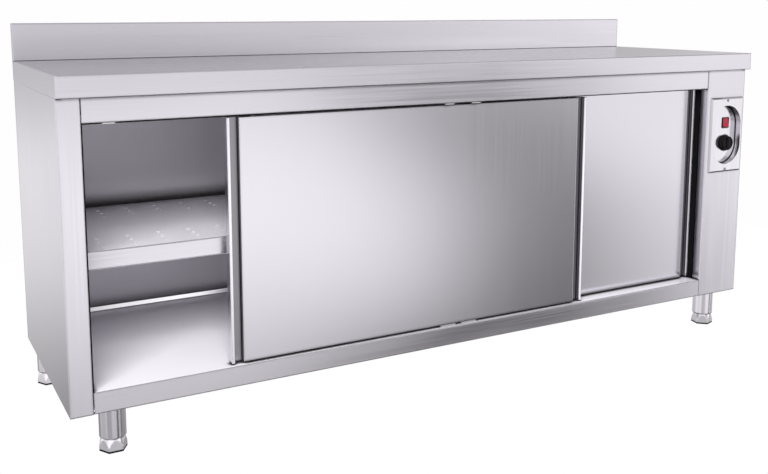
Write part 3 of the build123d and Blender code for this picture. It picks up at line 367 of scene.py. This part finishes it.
def tower(levels):
    """Points and faces of a closed body through outlines with the same number of points."""
    count = len(levels[0])
    points = [point for level in levels for point in level]
    faces = [tuple(reversed(range(count))), tuple(range(len(points) - count, len(points)))]
    for start in range(0, len(points) - count, count):
        for i in range(count):
            j = (i + 1) % count
            faces.append((start + i, start + j, start + count + j, start + count + i))
    return points, faces


def piece(name, bodies, slot, body, replaced=(), look=None, corner=PIECE_CORNER):
    """One object made of closed bodies, riding on a CAD body, in place of any nodes named."""
    points, faces = [], []
    for more_points, more_faces in bodies:
        faces += [tuple(i + len(points) for i in face) for face in more_faces]
        points += more_points
    mesh = bpy.data.meshes.new(name)
    mesh.from_pydata(points, [], faces)
    mesh.validate()
    shape = bmesh.new()
    shape.from_mesh(mesh)
    bmesh.ops.recalc_face_normals(shape, faces=shape.faces)
    shape.to_mesh(mesh)
    shape.free()
    smooth_curves(mesh, corner)
    mesh.materials.append(look or LOOKS[slot])
    made = bpy.data.objects.new(name, mesh)
    bpy.context.scene.collection.objects.link(made)
    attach(made, body)
    if replaced:
        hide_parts(*replaced)


# Levelling feet
FOOT_RADIUS = 0.0315
FOOT_CROWN = 0.0262
FOOT_FLAT = 0.011  # the height up to which its corners stay upright
FOOT_TOP = 0.033
FOOT_CHAMFER = 0.001
FOOT_POINTS = 72
STEM_RADIUS = 0.008
THREAD_DEPTH = 0.0007
THREAD_RINGS = 28


def hex_foot(low, high, turn):
    """Hexagon whose corners run up into a cone, with the threaded stem above it."""
    x, y, _ = (low + high) / 2
    steps = turns(FOOT_POINTS)
    slope = (FOOT_RADIUS - FOOT_CROWN) / (FOOT_TOP - FOOT_FLAT)

    def outline(spots):
        return [
            (x + radius * cos(turn + a), y + radius * sin(turn + a), z)
            for a, (radius, z) in zip(steps, spots)
        ]

    # The hexagon's own radius at each step
    flats = [FOOT_RADIUS * cos(pi / 6) / cos(a % (pi / 3) - pi / 6) for a in steps]
    levels = [
        outline([(radius - FOOT_CHAMFER, low.z) for radius in flats]),
        outline([(radius, low.z + FOOT_CHAMFER) for radius in flats]),
        outline([(radius, FOOT_FLAT + (FOOT_RADIUS - radius) / slope) for radius in flats]),
        outline([(FOOT_CROWN, FOOT_TOP)] * FOOT_POINTS),
    ]
    for i in range(THREAD_RINGS + 1):
        radius = STEM_RADIUS if i % 2 else STEM_RADIUS - THREAD_DEPTH
        z = FOOT_TOP + (high.z - FOOT_TOP) * i / THREAD_RINGS
        levels.append(outline([(radius, z)] * FOOT_POINTS))
    return tower(levels)


FOOT_TURNS = {"front_left": 0.0, "front_right": 18.0, "rear_left": 0.0, "rear_right": 0.0}
for corner, turn in FOOT_TURNS.items():
    piece(
        "Foot_" + corner,
        [hex_foot(*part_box("foot_" + corner), radians(turn))],
        "foot_polished",
        "levelling_foot_" + corner,
        ["foot_" + corner],
        corner=FOOT_CORNER,
    )

# Thermostat knob, with depths in front of its base
KNOB_PROFILE = (  # radius, depth, depth of the ribs
    (0.0235, 0.0, 0.0),
    (0.0235, 0.0036, 0.0),
    (0.0229, 0.0046, 0.0),
    (0.0217, 0.0050, 0.0),
    (0.0215, 0.0056, 0.0011),
    (0.0213, 0.0128, 0.0011),
    (0.0206, 0.0140, 0.0006),
    (0.0194, 0.0146, 0.0),
    (0.0180, 0.0142, 0.0),
)
KNOB_POINTS = 144
KNOB_RIBS = 24
BAR_PROFILE = (  # width, length, depth of the grip bar
    (0.0120, 0.0350, 0.0140),
    (0.0116, 0.0346, 0.0166),
    (0.0104, 0.0334, 0.0176),
    (0.0086, 0.0316, 0.0179),
)
BAR_STEPS = 12  # in each rounded end

knob_low, knob_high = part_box("thermostat_knob")
knob_x, _, knob_z = (knob_low + knob_high) / 2


def knob_outline(radius, depth, ribs):
    """Outline of the knob at a depth in front of its base, with its ribs."""
    steps = turns(KNOB_POINTS)
    sizes = [radius - ribs * (0.5 - 0.5 * cos(KNOB_RIBS * a)) for a in steps]
    return [
        (knob_x + size * cos(a), knob_high.y - depth, knob_z + size * sin(a))
        for a, size in zip(steps, sizes)
    ]


def bar_outline(width, length, depth):
    """Rounded outline of the grip bar."""
    spots = []
    for start, side in ((0.0, 1), (pi, -1)):
        for i in range(BAR_STEPS + 1):
            a = start + pi * i / BAR_STEPS
            rise = side * (length - width) / 2 + width / 2 * sin(a)
            spots.append((knob_x + width / 2 * cos(a), knob_high.y - depth, knob_z + rise))
    return spots


piece(
    "Thermostat_knob",
    [
        tower([knob_outline(*row) for row in KNOB_PROFILE]),
        tower([bar_outline(*row) for row in BAR_PROFILE]),
    ],
    "plastic_black",
    "thermostat_control",
    ["thermostat_knob"],
)

# Screws of the control plate, with depths in front of the plate's face
SCREW_RADIUS = 0.0034
SCREW_PROFILE = (  # radius, depth
    (0.0020, -0.0120),
    (0.0020, -0.0002),
    (SCREW_RADIUS, 0.0),
    (SCREW_RADIUS, 0.0007),
    (0.0031, 0.0015),
    (0.0022, 0.0021),
)
SCREW_POINTS = 32
SLOT_REACH = 0.0021
SLOT_HALF_WIDTH = 0.0005
SLOT_DEPTHS = (0.0019, 0.0022)

plate_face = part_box("control_plate")[0].y
screws_low, screws_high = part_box("control_plate_screws")
screw_x = (screws_low.x + screws_high.x) / 2
SCREWS = [(screw_x, screws_low.z + SCREW_RADIUS), (screw_x, screws_high.z - SCREW_RADIUS)]


def screw_head(x, z):
    """Low domed head of a plate screw, with its shank."""
    steps = turns(SCREW_POINTS)
    return tower([
        [(x + radius * cos(a), plate_face - depth, z + radius * sin(a)) for a in steps]
        for radius, depth in SCREW_PROFILE
    ])


def cross_slot(x, z):
    """Cross recess in a screw head, as a thin black body: painted shade of the recess."""
    reach, half = SLOT_REACH, SLOT_HALF_WIDTH
    arm = ((reach, -half), (reach, half), (half, half))
    quarters = ((1, 0), (0, 1), (-1, 0), (0, -1))
    spots = [(u * c - v * s, u * s + v * c) for c, s in quarters for u, v in arm]
    return tower([[(x + u, plate_face - depth, z + v) for u, v in spots] for depth in SLOT_DEPTHS])


piece(
    "Plate_screw_heads",
    [screw_head(x, z) for x, z in SCREWS],
    "steel_bright",
    "cabinet",
    ["control_plate_screws"],
)
# The black crosses are painted shade of the screws' recesses
piece("Plate_screw_recess_shade", [cross_slot(x, z) for x, z in SCREWS], "plastic_black", "cabinet")

# Painted shade: black strips just behind the front face of the opening, under the header between
# the glides and beside the left stile, stand in for the shadow lines there
SHADE_STRIP_SETBACK = 0.0004
SHADE_STRIP_DEPTH = 0.002
SHADE_STRIP_HEIGHT = 0.0018
SHADE_STRIP_LOW_HEIGHT = 0.0006  # right of the glides
STILE_SHADE_STRIP_WIDTH = 0.002
STILE_SHADE_STRIP_LIFT = 0.0005
GLIDE_LENGTH = 0.027
GLIDE_SPACING = 0.079

header_low, header_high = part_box("header_rail")
glides_low, glides_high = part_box("top_glides")


def strip(left, right, bottom):
    """Thin black upright strip up to the header, just behind the front face of the opening: painted
    shade.
    """
    front = header_low.y + SHADE_STRIP_SETBACK
    back = front + SHADE_STRIP_DEPTH
    corners = ((left, front), (right, front), (right, back), (left, back))
    return tower([[(x, y, z) for x, y in corners] for z in (bottom, header_low.z)])


stile_shade_strip_end = opening_left + STILE_SHADE_STRIP_WIDTH
last_glide = glides_high.x - GLIDE_LENGTH
strips = []
start = stile_shade_strip_end
for glide_start in (glides_low.x, last_glide - GLIDE_SPACING, last_glide):
    strips.append(strip(start, glide_start, header_low.z - SHADE_STRIP_HEIGHT))
    start = glide_start + GLIDE_LENGTH
strips.append(strip(start, header_high.x, header_low.z - SHADE_STRIP_LOW_HEIGHT))
strips.append(strip(opening_left, stile_shade_strip_end, opening_bottom + STILE_SHADE_STRIP_LIFT))
# The strips are painted shade, not a part of the cabinet
piece("Opening_shade_strips", strips, "buffer_black", "cabinet")

# Rims of the shelf's holes
RIM_PROFILE = (  # radius, height over the shelf
    (0.0050, -0.0001),
    (0.0060, -0.0001),
    (0.0058, 0.0003),
    (0.0054, 0.0005),
    (0.0050, 0.0003),
)
RIM_POINTS = 16
HOLE_COLUMNS = 24
HOLE_COLUMN_PITCH = 0.073
HOLE_ROW_PITCH = 0.038
FRONT_HOLES_INSET = 0.078
REAR_HOLES_INSET = 0.097


def hole_rim(x, y):
    """Low raised rim that the punch leaves round a hole of the shelf."""
    steps = turns(RIM_POINTS)
    sides = len(RIM_PROFILE)
    points = [
        (x + radius * cos(a), y + radius * sin(a), shelf_high.z + height)
        for a in steps
        for radius, height in RIM_PROFILE
    ]
    faces = []
    for i in range(RIM_POINTS):
        j = (i + 1) % RIM_POINTS
        for k in range(sides):
            m = (k + 1) % sides
            faces.append((i * sides + k, i * sides + m, j * sides + m, j * sides + k))
    return points, faces


shelf_middle = (shelf_low.x + shelf_high.x) / 2
rims = [
    hole_rim(
        shelf_middle + HOLE_COLUMN_PITCH * (column - (HOLE_COLUMNS - 1) / 2),
        middle_row + HOLE_ROW_PITCH * row,
    )
    for middle_row in (shelf_low.y + FRONT_HOLES_INSET, shelf_high.y - REAR_HOLES_INSET)
    for column in range(HOLE_COLUMNS)
    for row in (-1, 0, 1)
]
piece("Shelf_hole_rims", rims, "liner_stainless", "cabinet", look=RIM)

# ---------------------------------------------------------------- studio

FLOOR_HALF_WIDTH = 2.2
FLOOR_HALF_DEPTH = 1.6

floor_mesh = bpy.data.meshes.new("floor")
corners = ((-1, -1), (1, -1), (1, 1), (-1, 1))
floor_corners = [(FLOOR_HALF_WIDTH * u, FLOOR_HALF_DEPTH * v, 0.0) for u, v in corners]
floor_mesh.from_pydata(floor_corners, [], [(0, 1, 2, 3)])
floor = bpy.data.objects.new("floor", floor_mesh)
bpy.context.scene.collection.objects.link(floor)

# The floor is white to the camera and clear to reflections, which then see the world below
floor_look = bpy.data.materials.new("Studio floor")
floor_look.use_nodes = True
nodes = Nodes(floor_look.node_tree)
path = nodes.add("ShaderNodeLightPath").outputs
pale = nodes.add("ShaderNodeBsdfDiffuse", {"Color": (0.62, 0.61, 0.63, 1.0)}).outputs[0]
clear = nodes.add("ShaderNodeBsdfTransparent").outputs[0]
white = nodes.add("ShaderNodeEmission", {"Color": (1.0, 1.0, 1.0, 1.0), "Strength": 1.0}).outputs[0]
mixed = nodes.add("ShaderNodeMixShader", {0: path["Is Glossy Ray"], 1: pale, 2: clear}).outputs[0]
mixed = nodes.add("ShaderNodeMixShader", {0: path["Is Camera Ray"], 1: mixed, 2: white}).outputs[0]
nodes.add("ShaderNodeOutputMaterial", {0: mixed})
floor_mesh.materials.append(floor_look)

# The world is white to the camera. To the steel it is a studio with brighter and darker
# walls, by bearing (0 is the front, 90 the right side) and height, both in degrees.
world = bpy.data.worlds.new("Studio")
bpy.context.scene.world = world
world.use_nodes = True
nodes = Nodes(world.node_tree)
ray = nodes.add("ShaderNodeLightPath").outputs["Is Camera Ray"]
direction = nodes.add("ShaderNodeTexCoord").outputs["Generated"]
x, y, z = nodes.add("ShaderNodeSeparateXYZ", {0: direction}).outputs
forward = nodes.math("MULTIPLY", y, -1.0)
bearing = nodes.math("MULTIPLY", nodes.math("ARCTAN2", x, forward), 180 / pi)
height = nodes.math("MULTIPLY", nodes.math("ARCSINE", z), 180 / pi)


def band(angle, start, full, fade, end, level):
    """Factor that goes from 1 to the level and back to 1 between two bearings."""
    rise = nodes.step(angle, start, full)
    fall = nodes.step(angle, fade, end, 1.0, 0.0)
    share = nodes.math("MULTIPLY", rise, fall)
    return nodes.math("MULTIPLY_ADD", share, nodes.math("SUBTRACT", level, 1.0), 1.0)


# Each row is a smooth step: from one height, to another, the factor below, the factor above
level = nodes.steps(
    height,
    (-26.0, -13.0, 0.5, 1.3),  # the ground, darker than the walls
    (-45.0, -30.0, 0.07, 1.0),  # the deep ground, nearly black
    (-78.0, -60.0, 9.0, 1.0),  # straight below, lighter again
    (-28.0, -24.0, 1.35, 1.0),  # a sharper step within the ground
    (6.0, 14.0, 1.0, 0.84),  # the ceiling
    (-9.0, -2.0, 1.0, 0.76),  # from the horizon up
)
upper_front = nodes.step(height, 0.5, 3.5, 1.0, 0.6)
right_front = nodes.math(
    "MINIMUM",
    nodes.step(height, -2.5, -1.2, 1.0, 1.4),
    nodes.step(height, 5.0, 10.0, 1.4, 0.9),
)
low_front = nodes.math(
    "MAXIMUM",
    nodes.step(height, -9.0, -2.5, 1.0, 0.6),
    nodes.step(height, -2.5, -1.2, 0.0, 1.02),
)
# The dark band lies 6 degrees further right from 12 to 18 degrees below the horizon
leaning = nodes.math("SUBTRACT", bearing, nodes.step(height, -12.0, -5.0, 6.0, 0.0))
leaning = nodes.math("ADD", leaning, nodes.step(height, -21.0, -18.0, 6.0, 0.0))
dark_band = nodes.math(
    "MAXIMUM",
    nodes.step(height, -22.0, -3.0, 0.0, 0.26),
    nodes.step(height, -3.2, -1.5, 0.0, 0.95),
)
left_wall = nodes.math(
    "MAXIMUM",
    nodes.step(height, -6.0, 0.0, 0.55, 1.3),
    nodes.step(height, -27.0, -23.0, 0.95, 0.5),
)
BANDS = (  # angle, the bearings where it starts, is full, fades and ends, and its factor
    (bearing, -5.0, 0.0, 20.0, 34.0, upper_front),
    (bearing, 22.0, 34.0, 60.0, 80.0, right_front),
    (bearing, 0.0, 7.0, 12.0, 25.0, low_front),
    (leaning, 21.0, 29.0, 36.0, 44.0, dark_band),
    (bearing, 52.0, 61.0, 68.0, 78.0, 0.35),
    (bearing, 65.0, 80.0, 110.0, 125.0, 0.55),
    (bearing, -65.0, -50.0, -25.0, -5.0, left_wall),
    (bearing, -115.0, -102.0, -80.0, -66.0, 0.86),
)
for row in BANDS:
    level = nodes.math("MULTIPLY", level, band(*row))
rear_wall = nodes.steps(height, (-22.0, -9.0, 0.52, 0.7), (-9.0, -3.0, 1.0, 0.84))
turned_away = nodes.math("ABSOLUTE", bearing)
level = nodes.math("MULTIPLY", level, nodes.step(turned_away, 120.0, 140.0, 1.0, rear_wall))
strength = nodes.add("ShaderNodeMix", {0: ray, 2: level, 3: 1.0}).outputs[0]
glow = nodes.add("ShaderNodeBackground", {"Color": (1.0, 0.99, 1.0, 1.0), "Strength": strength})
nodes.add("ShaderNodeOutputWorld", {0: glow.outputs[0]})


def softbox(name, place, aim, width, depth, watts):
    """Soft light aimed at a point, without a reflection of its own in the steel."""
    lamp = bpy.data.lights.new(name, "AREA")
    lamp.shape = "RECTANGLE"
    lamp.size = width
    lamp.size_y = depth
    lamp.energy = watts
    holder = bpy.data.objects.new(name, lamp)
    holder.location = place
    holder.rotation_euler = (Vector(aim) - Vector(place)).to_track_quat("-Z", "Y").to_euler()
    holder.visible_glossy = False
    bpy.context.scene.collection.objects.link(holder)


softbox(
    "Key softbox",
    place=(-2.1, -2.7, 2.7),
    aim=(-0.4, 0.0, 0.3),
    width=2.4,
    depth=1.8,
    watts=420.0,
)

# As near to the photograph's camera as a small shift allows
CAMERA_PLACE = (-1.3332, -2.2886, 0.9822)
CAMERA_TIP = 8.262  # down, in degrees
CAMERA_TURN = 28.566  # to the right, in degrees
CAMERA_LENS = 44.741
CAMERA_SHIFT = -0.1172

camera_data = bpy.data.cameras.new("camera")
camera_data.lens = CAMERA_LENS
camera_data.shift_y = CAMERA_SHIFT
camera_data.clip_start = 0.05
camera_data.clip_end = 50.0
camera = bpy.data.objects.new("camera", camera_data)
camera.location = CAMERA_PLACE
camera.rotation_euler = (radians(90.0 - CAMERA_TIP), 0.0, radians(-CAMERA_TURN))
bpy.context.scene.collection.objects.link(camera)
bpy.context.scene.camera = camera
bpy.context.scene.view_settings.view_transform = "Standard"
